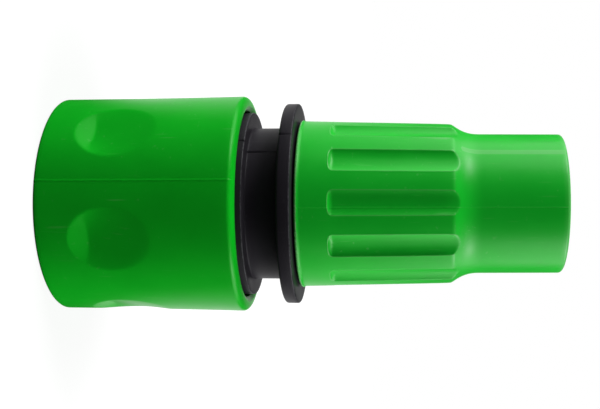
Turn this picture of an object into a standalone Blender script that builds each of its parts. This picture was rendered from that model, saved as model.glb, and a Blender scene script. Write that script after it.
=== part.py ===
"""Garden hose quick connector with a water stop, for 12.5 mm hose.

The connector stands on the mouth of its release sleeve. +Z runs along its axis, from the mouth that
takes the tap nose to the end that takes the hose, and the origin is the centre of the mouth face.
All sizes are in metres. Stations named Z_ are heights on the axis; names in _RADIUS run from the axis.
"""
import math

import bmesh
import bpy
from mathutils import Matrix, Vector

# Clearances
SEAT_GAP = 0.0003
SLIDE_GAP = 0.0004
THREAD_GAP = 0.0003

# Socket that takes the tap nose
NOSE_BORE_RADIUS = 0.0086
SOCKET_WALL = 0.0024
SOCKET_RECESS = 0.0004
SOCKET_LEAD_IN = 0.0012
LIP_THICKNESS = 0.0014
BORE_STEP_LENGTH = 0.0012
SEAL_BORE_RADIUS = 0.0077
SEAL_BORE_LENGTH = 0.0084
LAND_THICKNESS = 0.0016
LAND_HOLE_RADIUS = 0.0056
CHAMBER_LENGTH = 0.0058
TAIL_STEP = 0.0011
TAIL_WALL = 0.0031

# Claws and the cam that works them
CLAW_COUNT = 4
CLAW_REACH = 0.0095
CLAW_LENGTH = 0.0042
CLAW_WIDTH = 0.0050
CLAW_WING = 0.0013
CLAW_BACK_HEIGHT = 0.0013
HOOK_DEPTH = 0.0013
HOOK_LEAD_IN = 0.0019
HOOK_LEAD_SLOPE = 0.8
CAM_SLOPE = 0.27
CAM_COVER = 0.0009

# Release sleeve
SLEEVE_LENGTH = 0.03135
SLEEVE_WALL = 0.0022
SLEEVE_FLARE = 0.0002
SLEEVE_MOUTH_EDGE = 0.0004
SLEEVE_REAR_ROUNDING = 0.00125
SLEEVE_REAR_LIP = 0.00055
DIMPLE_COUNT = 6
DIMPLE_ANGLE = 48.5
DIMPLE_CENTRE = 0.0119
DIMPLE_LENGTH = 0.0134
DIMPLE_WIDTH = 0.0106
DIMPLE_DEPTH = 0.0010
DIMPLE_TOOL_HEIGHT = 0.0040

# Rear body
COLLAR_WALL = 0.0028
COLLAR_LENGTH = 0.0063
COLLAR_SHOWING = 0.00095
COLLAR_FLOOR = 0.0013
COLLAR_EDGE = 0.0003
NECK_WALL = 0.00358
NECK_LENGTH = 0.00535
NECK_FILLET = 0.0006
FLANGE_RISE = 0.00402
FLANGE_THICKNESS = 0.00195
FLANGE_EDGE = 0.0003
WEB_THICKNESS = 0.0050
FUNNEL_LEDGE = 0.0017
FUNNEL_LENGTH = 0.0030
THREAD_TUBE_LENGTH = 0.0123
THREAD_TUBE_WALL = 0.0013
HOSE_POCKET_DEPTH = 0.0089
HOSE_SPACE = 0.00305
HOSE_TAIL_RADIUS = 0.00635
HOSE_TAIL_WALL = 0.00185
HOSE_TAIL_LENGTH = 0.0309
HOSE_TAIL_EDGE = 0.0006
BARB_COUNT = 5
BARB_PITCH = 0.0032
BARB_HEIGHT = 0.00055

# Thread between rear body and nut
THREAD_PITCH = 0.0030
THREAD_DEPTH = 0.0008
THREAD_START = 0.0022
THREAD_RUN_OUT = 0.0011
THREAD_ROOT_SHARE = 0.57
THREAD_CREST_SHARE = 0.3
THREAD_END_SHARE = 0.2
THREAD_FADE_TURN = 1 / 6

# Grip nut
NUT_LENGTH = 0.0423
NUT_WALL = 0.00195
NUT_RIM_BEAD = 0.00015
NUT_TAPER = 0.00063
NUT_BODY_LENGTH = 0.0247
SHOULDER_LENGTH = 0.0047
SHOULDER_POWER = 2.45
NUT_TAIL_WALL = 0.0020
NUT_TAIL_TAPER = 0.00013
NUT_EDGE = 0.0005
NUT_LAND_HEIGHT = 0.0009
NUT_LAND_THICKNESS = 0.0007
FLUTE_COUNT = 12
FLUTE_ANGLE = -0.6
FLUTE_START = 0.0054
FLUTE_WIDTH = 0.0038
FLUTE_DEPTH = 0.0007
FLUTE_END_RISE = 0.6
FLUTE_END_ANGLE = 72

# Grip collet inside the nut
COLLET_LENGTH = 0.0140
COLLET_NOSE_WALL = 0.0010
COLLET_FLANGE_THICKNESS = 0.0018
COLLET_TAPER_LENGTH = 0.0067
COLLET_CLOSING = 0.0011
COLLET_TIP_WALL = 0.0009
FINGER_COUNT = 8
FINGER_SLOT = 0.0014
FINGER_ROOT = 0.0013
TOOTH_COUNT = 3
TOOTH_PITCH = 0.0019
TOOTH_HEIGHT = 0.0004

# Water stop
PLUNGER_CROWN_LENGTH = 0.0072
PLUNGER_VANE = 0.0014
PLUNGER_HEAD_OVERHANG = 0.0004
PLUNGER_HEAD_THICKNESS = 0.0015
PLUNGER_STEM_RADIUS = 0.0016
PLUNGER_BOSS_RADIUS = 0.0038
PLUNGER_BOSS_LENGTH = 0.0010
GUIDE_THICKNESS = 0.0012
GUIDE_HOLE_COUNT = 6
GUIDE_HOLE_RADIUS = 0.0011

# Seals and springs
SOCKET_SEAL_SECTION = 0.0015
PLUNGER_SEAL_SECTION = 0.0014
SLEEVE_SPRING_WIRE = 0.0012
SLEEVE_SPRING_PITCH = 0.0025
VALVE_SPRING_WIRE = 0.0009
VALVE_SPRING_PITCH = 0.0017
SPRING_CLEARANCE = 0.00035
SPRING_CLOSED_SHARE = 1.15

# Facets round the axis
SLEEVE_SIDES = 60
NUT_SIDES = 48
BODY_SIDES = 32
COLLET_SIDES = 40
SMALL_SIDES = 24
RING_SIDES = 24
CONE_SIDES = 48
FLUTE_SIDES = 20
SLEEVE_SPRING_SIDES = 16
VALVE_SPRING_SIDES = 12

# Radii that follow from the sizes above
SOCKET_RADIUS = NOSE_BORE_RADIUS + SOCKET_WALL
TAIL_RADIUS = SOCKET_RADIUS + TAIL_STEP
CHAMBER_RADIUS = TAIL_RADIUS - TAIL_WALL
FUNNEL_RADIUS = CHAMBER_RADIUS - FUNNEL_LEDGE
COLLAR_BORE = TAIL_RADIUS + SEAT_GAP
COLLAR_RADIUS = COLLAR_BORE + COLLAR_WALL
SLEEVE_BORE = COLLAR_RADIUS + SLIDE_GAP
SLEEVE_RADIUS = SLEEVE_BORE + SLEEVE_WALL
NECK_RADIUS = CHAMBER_RADIUS + NECK_WALL
FLANGE_RADIUS = NECK_RADIUS + FLANGE_RISE
HOSE_POCKET_RADIUS = HOSE_TAIL_RADIUS + HOSE_SPACE
WATERWAY_RADIUS = HOSE_TAIL_RADIUS - HOSE_TAIL_WALL
THREAD_TUBE_RADIUS = HOSE_POCKET_RADIUS + THREAD_TUBE_WALL
NUT_BORE = THREAD_TUBE_RADIUS + THREAD_DEPTH + THREAD_GAP
NUT_RADIUS = NUT_BORE + NUT_WALL
NUT_LAND_RADIUS = NUT_BORE - NUT_LAND_HEIGHT
NUT_TAIL_BORE = HOSE_POCKET_RADIUS
NUT_TAIL_RADIUS = NUT_TAIL_BORE + NUT_TAIL_WALL
COLLET_NOSE_RADIUS = NUT_LAND_RADIUS - SEAT_GAP
COLLET_BORE = COLLET_NOSE_RADIUS - COLLET_NOSE_WALL
COLLET_FLANGE_RADIUS = NUT_BORE - SEAT_GAP
COLLET_TIP_RADIUS = COLLET_NOSE_RADIUS - COLLET_CLOSING
CLAW_TIP_RADIUS = NOSE_BORE_RADIUS - HOOK_DEPTH
CLAW_BACK_RADIUS = SOCKET_RADIUS + CLAW_BACK_HEIGHT
PLUNGER_RADIUS = LAND_HOLE_RADIUS - SEAT_GAP
VALVE_SPRING_RADIUS = PLUNGER_BOSS_RADIUS + SPRING_CLEARANCE + VALVE_SPRING_WIRE / 2
GUIDE_HOLE_RING = FUNNEL_RADIUS - GUIDE_HOLE_RADIUS

# Heights that follow from the sizes above
Z_SOCKET_FRONT = SOCKET_RECESS
Z_LIP_REAR = Z_SOCKET_FRONT + LIP_THICKNESS
Z_CAM_FRONT = Z_LIP_REAR + SEAT_GAP
Z_CLAW_REAR = CLAW_REACH + CLAW_LENGTH / 2
Z_CAM_REAR = Z_CLAW_REAR + CAM_COVER
Z_COLLAR_REAR = SLEEVE_LENGTH + COLLAR_SHOWING
Z_COLLAR_FRONT = Z_COLLAR_REAR - COLLAR_LENGTH
Z_SOCKET_REAR = Z_COLLAR_REAR - COLLAR_FLOOR
Z_LAND_REAR = Z_SOCKET_REAR - CHAMBER_LENGTH
Z_LAND_FRONT = Z_LAND_REAR - LAND_THICKNESS
Z_SEAL_BORE = Z_LAND_FRONT - SEAL_BORE_LENGTH
Z_FLANGE_FRONT = Z_COLLAR_REAR + NECK_LENGTH
Z_FLANGE_REAR = Z_FLANGE_FRONT + FLANGE_THICKNESS
Z_TUBE_END = Z_FLANGE_REAR + THREAD_TUBE_LENGTH
Z_HOSE_STOP = Z_TUBE_END - HOSE_POCKET_DEPTH
Z_CHAMBER_END = Z_HOSE_STOP - WEB_THICKNESS
Z_HOSE_TAIL_END = Z_FLANGE_REAR + HOSE_TAIL_LENGTH
Z_NUT_RIM = Z_FLANGE_REAR + SEAT_GAP
Z_NUT_CORNER = Z_NUT_RIM + NUT_BODY_LENGTH
Z_NUT_END = Z_NUT_RIM + NUT_LENGTH
Z_COLLET_FRONT = Z_TUBE_END + SEAT_GAP
Z_NUT_LAND = Z_COLLET_FRONT + SEAT_GAP
Z_COLLET_FLANGE = Z_NUT_LAND + NUT_LAND_THICKNESS + SEAT_GAP
Z_FINGER_ROOT = Z_COLLET_FLANGE + COLLET_FLANGE_THICKNESS
Z_COLLET_TIP = Z_COLLET_FRONT + COLLET_LENGTH
Z_COLLET_TAPER = Z_COLLET_TIP - COLLET_TAPER_LENGTH
Z_SEAL_FRONT = Z_LAND_REAR + SEAT_GAP
Z_HEAD_FRONT = Z_SEAL_FRONT + PLUNGER_SEAL_SECTION + SEAT_GAP
Z_HEAD_REAR = Z_HEAD_FRONT + PLUNGER_HEAD_THICKNESS
Z_GUIDE_REAR = Z_CHAMBER_END - SEAT_GAP
Z_GUIDE_FRONT = Z_GUIDE_REAR - GUIDE_THICKNESS


# Helpers

def clear_scene():
    """Remove every object that the file already holds."""
    for old in list(bpy.data.objects):
        bpy.data.objects.remove(old, do_unlink=True)


def plastic(name, rgb, roughness, metallic=0.0):
    """Return a Principled material with one colour."""
    material = bpy.data.materials.new(name)
    material.use_nodes = True
    shader = material.node_tree.nodes["Principled BSDF"]
    shader.inputs["Base Color"].default_value = (*rgb, 1.0)
    shader.inputs["Roughness"].default_value = roughness
    shader.inputs["Metallic"].default_value = metallic
    return material


def add_object(name, data, material=None):
    """Put data into the scene as a named object under the connector's axis empty."""
    piece = bpy.data.objects.new(name, data)
    bpy.context.scene.collection.objects.link(piece)
    piece.parent = bpy.data.objects["connector_axis"]
    if material and not data.materials:
        data.materials.append(material)
    return piece


def finish_mesh(bm, name):
    """Close a bmesh, turn its faces outwards and return it as a smooth-shaded mesh."""
    bmesh.ops.remove_doubles(bm, verts=bm.verts, dist=1e-7)
    bmesh.ops.recalc_face_normals(bm, faces=bm.faces)
    mesh = bpy.data.meshes.new(name)
    bm.to_mesh(mesh)
    bm.free()
    mesh.shade_smooth()
    mesh.set_sharp_from_angle(angle=math.radians(35))
    return mesh


def turned_mesh(name, outline, sides, closed=True):
    """Spin an outline of (radius, height) points about Z.

    A closed outline makes a ring; an open one starts and ends on the axis or gets flat ends there.
    """
    bm = bmesh.new()
    verts = [bm.verts.new((radius, 0, z)) for radius, z in outline]
    edges = [bm.edges.new(pair) for pair in zip(verts, verts[1:])]
    if closed:
        edges.append(bm.edges.new((verts[-1], verts[0])))
    bmesh.ops.spin(
        bm, geom=verts + edges, cent=(0, 0, 0), axis=(0, 0, 1),
        angle=2 * math.pi, steps=sides, use_merge=True,
    )
    return finish_mesh(bm, name)


def swept_mesh(name, rings):
    """Join rings of points into one closed tube with flat ends."""
    bm = bmesh.new()
    rows = [[bm.verts.new(point) for point in ring] for ring in rings]
    count = len(rows[0])
    for row, after in zip(rows, rows[1:]):
        for i in range(count):
            j = (i + 1) % count
            bm.faces.new((row[i], row[j], after[j], after[i]))
    bm.faces.new(rows[0])
    bm.faces.new(rows[-1])
    return finish_mesh(bm, name)


def box_mesh(name, boxes):
    """Make one mesh of separate boxes, each given as (low corner, high corner, turn about Z)."""
    bm = bmesh.new()
    for low, high, angle in boxes:
        low = Vector(low)
        high = Vector(high)
        size = high - low
        place = (
            Matrix.Rotation(math.radians(angle), 4, "Z")
            @ Matrix.Translation((low + high) / 2)
            @ Matrix.Diagonal((*size, 1))
        )
        bmesh.ops.create_cube(bm, size=1.0, matrix=place)
    return finish_mesh(bm, name)


def cut_or_join(piece, tool, operation):
    """Add a Boolean to piece, and mark its tool as a guide that isn't part of the product."""
    modifier = piece.modifiers.new(tool.name, "BOOLEAN")
    modifier.operation = operation
    modifier.object = tool
    tool.hide_render = True
    tool.display_type = "WIRE"


def arc(centre, radii, start, end, steps):
    """Points on an elliptical arc in (radius, height), angles in degrees from the outward side."""
    points = []
    for i in range(steps + 1):
        angle = math.radians(start + (end - start) * i / steps)
        points.append((centre[0] + radii[0] * math.cos(angle), centre[1] + radii[1] * math.sin(angle)))
    return points


def polar(radius, angle, z):
    """Return the point at a radius and an angle in degrees about the axis."""
    turn = math.radians(angle)
    return Vector((radius * math.cos(turn), radius * math.sin(turn), z))


def thread_ridge(name, root_radius, crest_radius, sink, z_start):
    """Make a right-hand thread ridge of trapezoid section, sunk a little into its wall."""
    length = THREAD_TUBE_LENGTH - THREAD_START - THREAD_PITCH / 2 - THREAD_RUN_OUT
    steps = round(length / THREAD_PITCH * BODY_SIDES)
    half_root = THREAD_PITCH * THREAD_ROOT_SHARE / 2
    half_crest = THREAD_PITCH * THREAD_CREST_SHARE / 2
    fade = round(BODY_SIDES * THREAD_FADE_TURN)
    base_radius = root_radius - math.copysign(sink, crest_radius - root_radius)
    rings = []
    for i in range(steps + 1):
        angle = 360.0 * i / BODY_SIDES
        z = z_start + THREAD_PITCH * i / BODY_SIDES
        height = min(1.0, THREAD_END_SHARE + (1 - THREAD_END_SHARE) * min(i, steps - i) / fade)
        crest = root_radius + (crest_radius - root_radius) * height
        rings.append([
            polar(base_radius, angle, z - half_root),
            polar(crest, angle, z - half_crest),
            polar(crest, angle, z + half_crest),
            polar(base_radius, angle, z + half_root),
        ])
    return add_object(name, swept_mesh(name, rings))


def coil_spring(name, radius, wire, pitch, z_low, z_high, per_turn, material):
    """Make a compression spring of round wire whose last turn at each end lies closed."""
    closed_pitch = SPRING_CLOSED_SHARE * wire
    low = z_low + wire / 2
    high = z_high - wire / 2
    open_turns = (high - low - 2 * closed_pitch) / pitch
    turns = open_turns + 2
    curve = bpy.data.curves.new(name, "CURVE")
    curve.dimensions = "3D"
    curve.bevel_depth = wire / 2
    curve.bevel_resolution = 1
    curve.use_fill_caps = True
    count = round(turns * per_turn) + 1
    spline = curve.splines.new("POLY")
    spline.points.add(count - 1)
    for i, point in enumerate(spline.points):
        turn = turns * i / (count - 1)
        z = low + closed_pitch * min(turn, 1)
        z += pitch * min(max(turn - 1, 0), open_turns)
        z += closed_pitch * max(turn - (turns - 1), 0)
        point.co = (*polar(radius, 360 * turn, z), 1)
    return add_object(name, curve, material)


def seal_ring(name, radius, section, z, material):
    """Make an O-ring whose section is centred at the given radius and height."""
    outline = arc((radius, z), (section / 2, section / 2), 0, 360, 6)[:-1]
    return add_object(name, turned_mesh(name, outline, RING_SIDES), material)


# Release sleeve, the green moulding that slides back to let go

def cam_radius(z):
    """Radius of the cam cone inside the sleeve, which opens towards the mouth."""
    return CLAW_BACK_RADIUS + SEAT_GAP + CAM_SLOPE * (CLAW_REACH - z)


def sleeve_radius(z):
    """Outer radius of the sleeve, which flares a little towards its rear."""
    return SLEEVE_RADIUS + SLEEVE_FLARE * (z / SLEEVE_LENGTH) ** 3


def dimple_tool_mesh():
    """Ellipsoid that scoops one finger dimple of the named length, width and depth."""
    centre = SLEEVE_RADIUS - DIMPLE_DEPTH + DIMPLE_TOOL_HEIGHT
    edge_radius = math.sqrt(SLEEVE_RADIUS ** 2 - (DIMPLE_WIDTH / 2) ** 2)
    end_share = (centre - SLEEVE_RADIUS) / DIMPLE_TOOL_HEIGHT
    side_share = (centre - edge_radius) / DIMPLE_TOOL_HEIGHT
    half_length = DIMPLE_LENGTH / 2 / math.sqrt(1 - end_share ** 2)
    half_width = DIMPLE_WIDTH / 2 / math.sqrt(1 - side_share ** 2)
    bm = bmesh.new()
    shape = Matrix.Diagonal((DIMPLE_TOOL_HEIGHT, half_width, half_length, 1))
    pole_inwards = Matrix.Rotation(math.pi / 2, 4, "Y")
    bmesh.ops.create_uvsphere(bm, u_segments=16, v_segments=20, radius=1.0, matrix=shape @ pole_inwards)
    return finish_mesh(bm, "dimple_tool")


def make_release_sleeve(material):
    outline = [(0, 0)]
    outline += arc(
        (SLEEVE_RADIUS - SLEEVE_MOUTH_EDGE, SLEEVE_MOUTH_EDGE),
        (SLEEVE_MOUTH_EDGE, SLEEVE_MOUTH_EDGE), -90, 0, 2,
    )
    z_rounding = SLEEVE_LENGTH - SLEEVE_REAR_ROUNDING
    rows = 4
    for i in range(1, rows):
        z = z_rounding * i / rows
        outline.append((sleeve_radius(z), z))
    rim = SLEEVE_BORE + SLEEVE_REAR_LIP
    outline += arc(
        (rim, z_rounding),
        (sleeve_radius(z_rounding) - rim, SLEEVE_REAR_ROUNDING), 0, 90, 5,
    )
    outline.append((0, SLEEVE_LENGTH))
    sleeve = add_object(
        "release_sleeve",
        turned_mesh("release_sleeve", outline, SLEEVE_SIDES, closed=False),
        material,
    )
    over = SLEEVE_WALL
    bore_outline = [
        (0, -over),
        (SLEEVE_BORE + SEAT_GAP, -over),
        (SLEEVE_BORE + SEAT_GAP, 0),
        (SLEEVE_BORE, SEAT_GAP),
        (SLEEVE_BORE, Z_CAM_FRONT),
        (cam_radius(Z_CAM_FRONT), Z_CAM_FRONT),
        (cam_radius(Z_CAM_REAR), Z_CAM_REAR),
        (SLEEVE_BORE, Z_CAM_REAR),
        (SLEEVE_BORE, SLEEVE_LENGTH - SLEEVE_REAR_LIP),
        (rim, SLEEVE_LENGTH),
        (rim, SLEEVE_LENGTH + over),
        (0, SLEEVE_LENGTH + over),
    ]
    bore_shape = turned_mesh("sleeve_bore_tool", bore_outline, CONE_SIDES, closed=False)
    bore = add_object("sleeve_bore_tool", bore_shape)
    cut_or_join(sleeve, bore, "DIFFERENCE")
    scoop = dimple_tool_mesh()
    for i in range(DIMPLE_COUNT):
        angle = DIMPLE_ANGLE + 360 * i / DIMPLE_COUNT
        tool = add_object(f"dimple_tool_{i + 1}", scoop)
        tool.location = polar(SLEEVE_RADIUS - DIMPLE_DEPTH + DIMPLE_TOOL_HEIGHT, angle, DIMPLE_CENTRE)
        tool.rotation_euler.z = math.radians(angle)
        cut_or_join(sleeve, tool, "DIFFERENCE")


# Front socket, the black tube that takes the tap nose

def make_front_socket(material):
    half_groove = SOCKET_SEAL_SECTION / 2 + SEAT_GAP
    groove_radius = COLLAR_BORE - SEAT_GAP - SOCKET_SEAL_SECTION - SEAT_GAP
    z_seal = (Z_COLLAR_FRONT + Z_SOCKET_REAR) / 2 + SEAT_GAP
    z_tail = Z_COLLAR_FRONT + SEAT_GAP
    outline = [
        (NOSE_BORE_RADIUS + SOCKET_LEAD_IN, Z_SOCKET_FRONT),
        (COLLAR_RADIUS, Z_SOCKET_FRONT),
        (COLLAR_RADIUS, Z_LIP_REAR),
        (SOCKET_RADIUS, Z_LIP_REAR),
        (SOCKET_RADIUS, z_tail),
        (TAIL_RADIUS, z_tail),
        (TAIL_RADIUS, z_seal - half_groove),
        (groove_radius, z_seal - half_groove),
        (groove_radius, z_seal + half_groove),
        (TAIL_RADIUS, z_seal + half_groove),
        (TAIL_RADIUS, Z_SOCKET_REAR),
        (CHAMBER_RADIUS, Z_SOCKET_REAR),
        (CHAMBER_RADIUS, Z_LAND_REAR),
        (LAND_HOLE_RADIUS, Z_LAND_REAR),
        (LAND_HOLE_RADIUS, Z_LAND_FRONT),
        (SEAL_BORE_RADIUS, Z_LAND_FRONT),
        (SEAL_BORE_RADIUS, Z_SEAL_BORE),
        (NOSE_BORE_RADIUS, Z_SEAL_BORE - BORE_STEP_LENGTH),
        (NOSE_BORE_RADIUS, Z_SOCKET_FRONT + SOCKET_LEAD_IN),
    ]
    socket = add_object("front_socket", turned_mesh("front_socket", outline, BODY_SIDES), material)
    half_width = CLAW_WIDTH / 2 + SEAT_GAP
    half_length = CLAW_LENGTH / 2 + SEAT_GAP
    low = (CLAW_TIP_RADIUS - HOOK_DEPTH, -half_width, CLAW_REACH - half_length)
    high = (SOCKET_RADIUS + SOCKET_WALL, half_width, CLAW_REACH + half_length)
    windows = [(low, high, 360 * i / CLAW_COUNT) for i in range(CLAW_COUNT)]
    cut_or_join(socket, add_object("window_tool", box_mesh("window_tool", windows)), "DIFFERENCE")
    return z_seal


# Claws, the four loose hooks that hold the tap nose

def make_claws(material):
    """Each claw is a T-shaped block with a hook inside, cut to the cam's cone outside."""
    half_length = CLAW_LENGTH / 2
    half_width = CLAW_WIDTH / 2
    wing_radius = SOCKET_RADIUS + SEAT_GAP
    top_radius = CLAW_BACK_RADIUS + 2 * CLAW_LENGTH
    section = [
        (CLAW_TIP_RADIUS, -half_width),
        (wing_radius, -half_width),
        (wing_radius, -half_width - CLAW_WING),
        (top_radius, -half_width - CLAW_WING),
        (top_radius, half_width + CLAW_WING),
        (wing_radius, half_width + CLAW_WING),
        (wing_radius, half_width),
        (CLAW_TIP_RADIUS, half_width),
    ]
    rings = []
    for z in (-half_length, half_length):
        rings.append([Vector((x - CLAW_TIP_RADIUS, y, z)) for x, y in section])
    bm = bmesh.new()
    bm.from_mesh(swept_mesh("claw_block", rings))
    bmesh.ops.bisect_plane(
        bm, geom=bm.verts[:] + bm.edges[:] + bm.faces[:],
        plane_co=(0, 0, -half_length + HOOK_LEAD_IN), plane_no=(-1, 0, -HOOK_LEAD_SLOPE), clear_outer=True,
    )
    bmesh.ops.holes_fill(bm, edges=bm.edges)
    mesh = finish_mesh(bm, "claw")
    z_low = CLAW_REACH - CLAW_LENGTH
    z_high = CLAW_REACH + CLAW_LENGTH
    cone_outline = [
        (0, z_low),
        (cam_radius(z_low) - SEAT_GAP, z_low),
        (cam_radius(z_high) - SEAT_GAP, z_high),
        (0, z_high),
    ]
    cone_shape = turned_mesh("claw_cone_tool", cone_outline, CONE_SIDES, closed=False)
    cone = add_object("claw_cone_tool", cone_shape)
    for i in range(CLAW_COUNT):
        angle = 360 * i / CLAW_COUNT
        claw = add_object(f"claw_{i + 1}", mesh, material)
        claw.location = polar(CLAW_TIP_RADIUS, angle, CLAW_REACH)
        claw.rotation_euler.z = math.radians(angle)
        cut_or_join(claw, cone, "INTERSECT")


# Rear body, one black moulding: collar, neck, flange, thread tube and hose tail

def make_rear_body(material):
    z_neck = Z_COLLAR_REAR + NECK_FILLET
    outline = [
        (COLLAR_BORE, Z_COLLAR_FRONT),
        (COLLAR_RADIUS - COLLAR_EDGE, Z_COLLAR_FRONT),
        (COLLAR_RADIUS, Z_COLLAR_FRONT + COLLAR_EDGE),
        (COLLAR_RADIUS, Z_COLLAR_REAR - COLLAR_EDGE),
        (COLLAR_RADIUS - COLLAR_EDGE, Z_COLLAR_REAR),
        (NECK_RADIUS + NECK_FILLET, Z_COLLAR_REAR),
        (NECK_RADIUS, z_neck),
        (NECK_RADIUS, Z_FLANGE_FRONT),
        (FLANGE_RADIUS - FLANGE_EDGE, Z_FLANGE_FRONT),
        (FLANGE_RADIUS, Z_FLANGE_FRONT + FLANGE_EDGE),
        (FLANGE_RADIUS, Z_FLANGE_REAR - FLANGE_EDGE),
        (FLANGE_RADIUS - FLANGE_EDGE, Z_FLANGE_REAR),
        (THREAD_TUBE_RADIUS, Z_FLANGE_REAR),
        (THREAD_TUBE_RADIUS, Z_TUBE_END),
        (HOSE_POCKET_RADIUS, Z_TUBE_END),
        (HOSE_POCKET_RADIUS, Z_HOSE_STOP),
        (HOSE_TAIL_RADIUS, Z_HOSE_STOP),
    ]
    z_barb = Z_HOSE_TAIL_END - HOSE_TAIL_EDGE - BARB_COUNT * BARB_PITCH
    for i in range(BARB_COUNT):
        outline.append((HOSE_TAIL_RADIUS, z_barb + i * BARB_PITCH))
        outline.append((HOSE_TAIL_RADIUS + BARB_HEIGHT, z_barb + i * BARB_PITCH))
    outline += [
        (HOSE_TAIL_RADIUS, Z_HOSE_TAIL_END - HOSE_TAIL_EDGE),
        (HOSE_TAIL_RADIUS - HOSE_TAIL_EDGE, Z_HOSE_TAIL_END),
        (WATERWAY_RADIUS, Z_HOSE_TAIL_END),
        (WATERWAY_RADIUS, Z_CHAMBER_END + FUNNEL_LENGTH),
        (FUNNEL_RADIUS, Z_CHAMBER_END),
        (CHAMBER_RADIUS, Z_CHAMBER_END),
        (CHAMBER_RADIUS, Z_SOCKET_REAR + SEAT_GAP),
        (COLLAR_BORE, Z_SOCKET_REAR + SEAT_GAP),
    ]
    body = add_object("rear_body", turned_mesh("rear_body", outline, BODY_SIDES), material)
    ridge = thread_ridge(
        "body_thread", THREAD_TUBE_RADIUS, THREAD_TUBE_RADIUS + THREAD_DEPTH, THREAD_TUBE_WALL / 3,
        Z_FLANGE_REAR + THREAD_START,
    )
    cut_or_join(body, ridge, "UNION")


# Grip nut, the green moulding that screws down to clamp the hose

def nut_radius(z):
    """Outer radius of the nut's fluted body, which tapers towards the shoulder."""
    return NUT_RADIUS - NUT_TAPER * (z - Z_NUT_RIM) / NUT_BODY_LENGTH


def nut_outline():
    """Half outline of the nut: rim, fluted body, concave shoulder and plain tail."""
    bead = NUT_RADIUS + NUT_RIM_BEAD
    outline = [(0, Z_NUT_RIM)]
    outline += arc((bead - NUT_EDGE, Z_NUT_RIM + NUT_EDGE), (NUT_EDGE, NUT_EDGE), -90, 0, 2)
    for share in (0.06, 0.33, 0.66, 1.0):
        z = Z_NUT_RIM + share * NUT_BODY_LENGTH
        outline.append((nut_radius(z), z))
    drop = nut_radius(Z_NUT_CORNER) - NUT_TAIL_RADIUS
    for share in (0.16, 0.34, 0.56, 1.0):
        radius = NUT_TAIL_RADIUS + drop * (1 - share) ** SHOULDER_POWER
        outline.append((radius, Z_NUT_CORNER + share * SHOULDER_LENGTH))
    end = NUT_TAIL_RADIUS - NUT_TAIL_TAPER
    outline += arc((end - NUT_EDGE, Z_NUT_END - NUT_EDGE), (NUT_EDGE, NUT_EDGE), 0, 90, 2)
    outline.append((0, Z_NUT_END))
    return outline


def nut_bore_outline():
    """Half outline of the nut's inside: thread bore, collet land, collet cone and hose entry."""
    over = NUT_WALL
    slope = (COLLET_NOSE_RADIUS - COLLET_TIP_RADIUS) / COLLET_TAPER_LENGTH
    z_cone = Z_FINGER_ROOT + SEAT_GAP
    cone_start = COLLET_NOSE_RADIUS + SEAT_GAP + slope * (Z_COLLET_TAPER - z_cone)
    z_tail_bore = Z_COLLET_TIP + (COLLET_TIP_RADIUS + SEAT_GAP - NUT_TAIL_BORE) / slope
    return [
        (0, Z_NUT_RIM - over),
        (NUT_BORE + NUT_EDGE, Z_NUT_RIM - over),
        (NUT_BORE + NUT_EDGE, Z_NUT_RIM),
        (NUT_BORE, Z_NUT_RIM + NUT_EDGE),
        (NUT_BORE, Z_NUT_LAND),
        (NUT_LAND_RADIUS, Z_NUT_LAND),
        (NUT_LAND_RADIUS, Z_NUT_LAND + NUT_LAND_THICKNESS),
        (NUT_BORE, Z_NUT_LAND + NUT_LAND_THICKNESS),
        (NUT_BORE, z_cone),
        (cone_start, z_cone),
        (NUT_TAIL_BORE, z_tail_bore),
        (NUT_TAIL_BORE, Z_NUT_END - NUT_EDGE),
        (NUT_TAIL_BORE + NUT_EDGE, Z_NUT_END),
        (NUT_TAIL_BORE + NUT_EDGE, Z_NUT_END + over),
        (0, Z_NUT_END + over),
    ]


def flute_tool_mesh():
    """Round-ended bars, one for each flute, leaning in with the nut's taper."""
    chord_depth = FLUTE_DEPTH - FLUTE_WIDTH ** 2 / (8 * NUT_RADIUS)
    radius = (FLUTE_WIDTH ** 2 / 4 + chord_depth ** 2) / (2 * chord_depth)
    length = NUT_BODY_LENGTH + SHOULDER_LENGTH
    dome = FLUTE_END_RISE * radius
    outline = [(0, 0)]
    outline += arc((0, dome), (radius, dome), -FLUTE_END_ANGLE, 0, 4)
    outline += [(radius, length), (0, length)]
    bar = turned_mesh("flute_bar", outline, FLUTE_SIDES, closed=False)
    lean = math.atan(NUT_TAPER / NUT_BODY_LENGTH)
    z_start = Z_NUT_RIM + FLUTE_START
    place = nut_radius(z_start) - FLUTE_DEPTH + radius
    bm = bmesh.new()
    for i in range(FLUTE_COUNT):
        angle = FLUTE_ANGLE + 360 * i / FLUTE_COUNT
        before = len(bm.verts)
        bm.from_mesh(bar)
        bm.verts.ensure_lookup_table()
        move = (
            Matrix.Rotation(math.radians(angle), 4, "Z")
            @ Matrix.Translation((place, 0, z_start))
            @ Matrix.Rotation(-lean, 4, "Y")
        )
        bmesh.ops.transform(bm, matrix=move, verts=bm.verts[before:])
    return finish_mesh(bm, "flute_tool")


def make_grip_nut(material):
    blank = turned_mesh("grip_nut", nut_outline(), NUT_SIDES, closed=False)
    nut = add_object("grip_nut", blank, material)
    cut_or_join(nut, add_object("flute_tool", flute_tool_mesh()), "DIFFERENCE")
    bore = add_object(
        "nut_bore_tool", turned_mesh("nut_bore_tool", nut_bore_outline(), BODY_SIDES, closed=False)
    )
    cut_or_join(nut, bore, "DIFFERENCE")
    ridge = thread_ridge(
        "nut_thread", NUT_BORE, NUT_BORE - THREAD_DEPTH, THREAD_GAP,
        Z_FLANGE_REAR + THREAD_START + THREAD_PITCH / 2,
    )
    cut_or_join(nut, ridge, "UNION")


# Grip collet, the ring of fingers that bites on the hose

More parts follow.
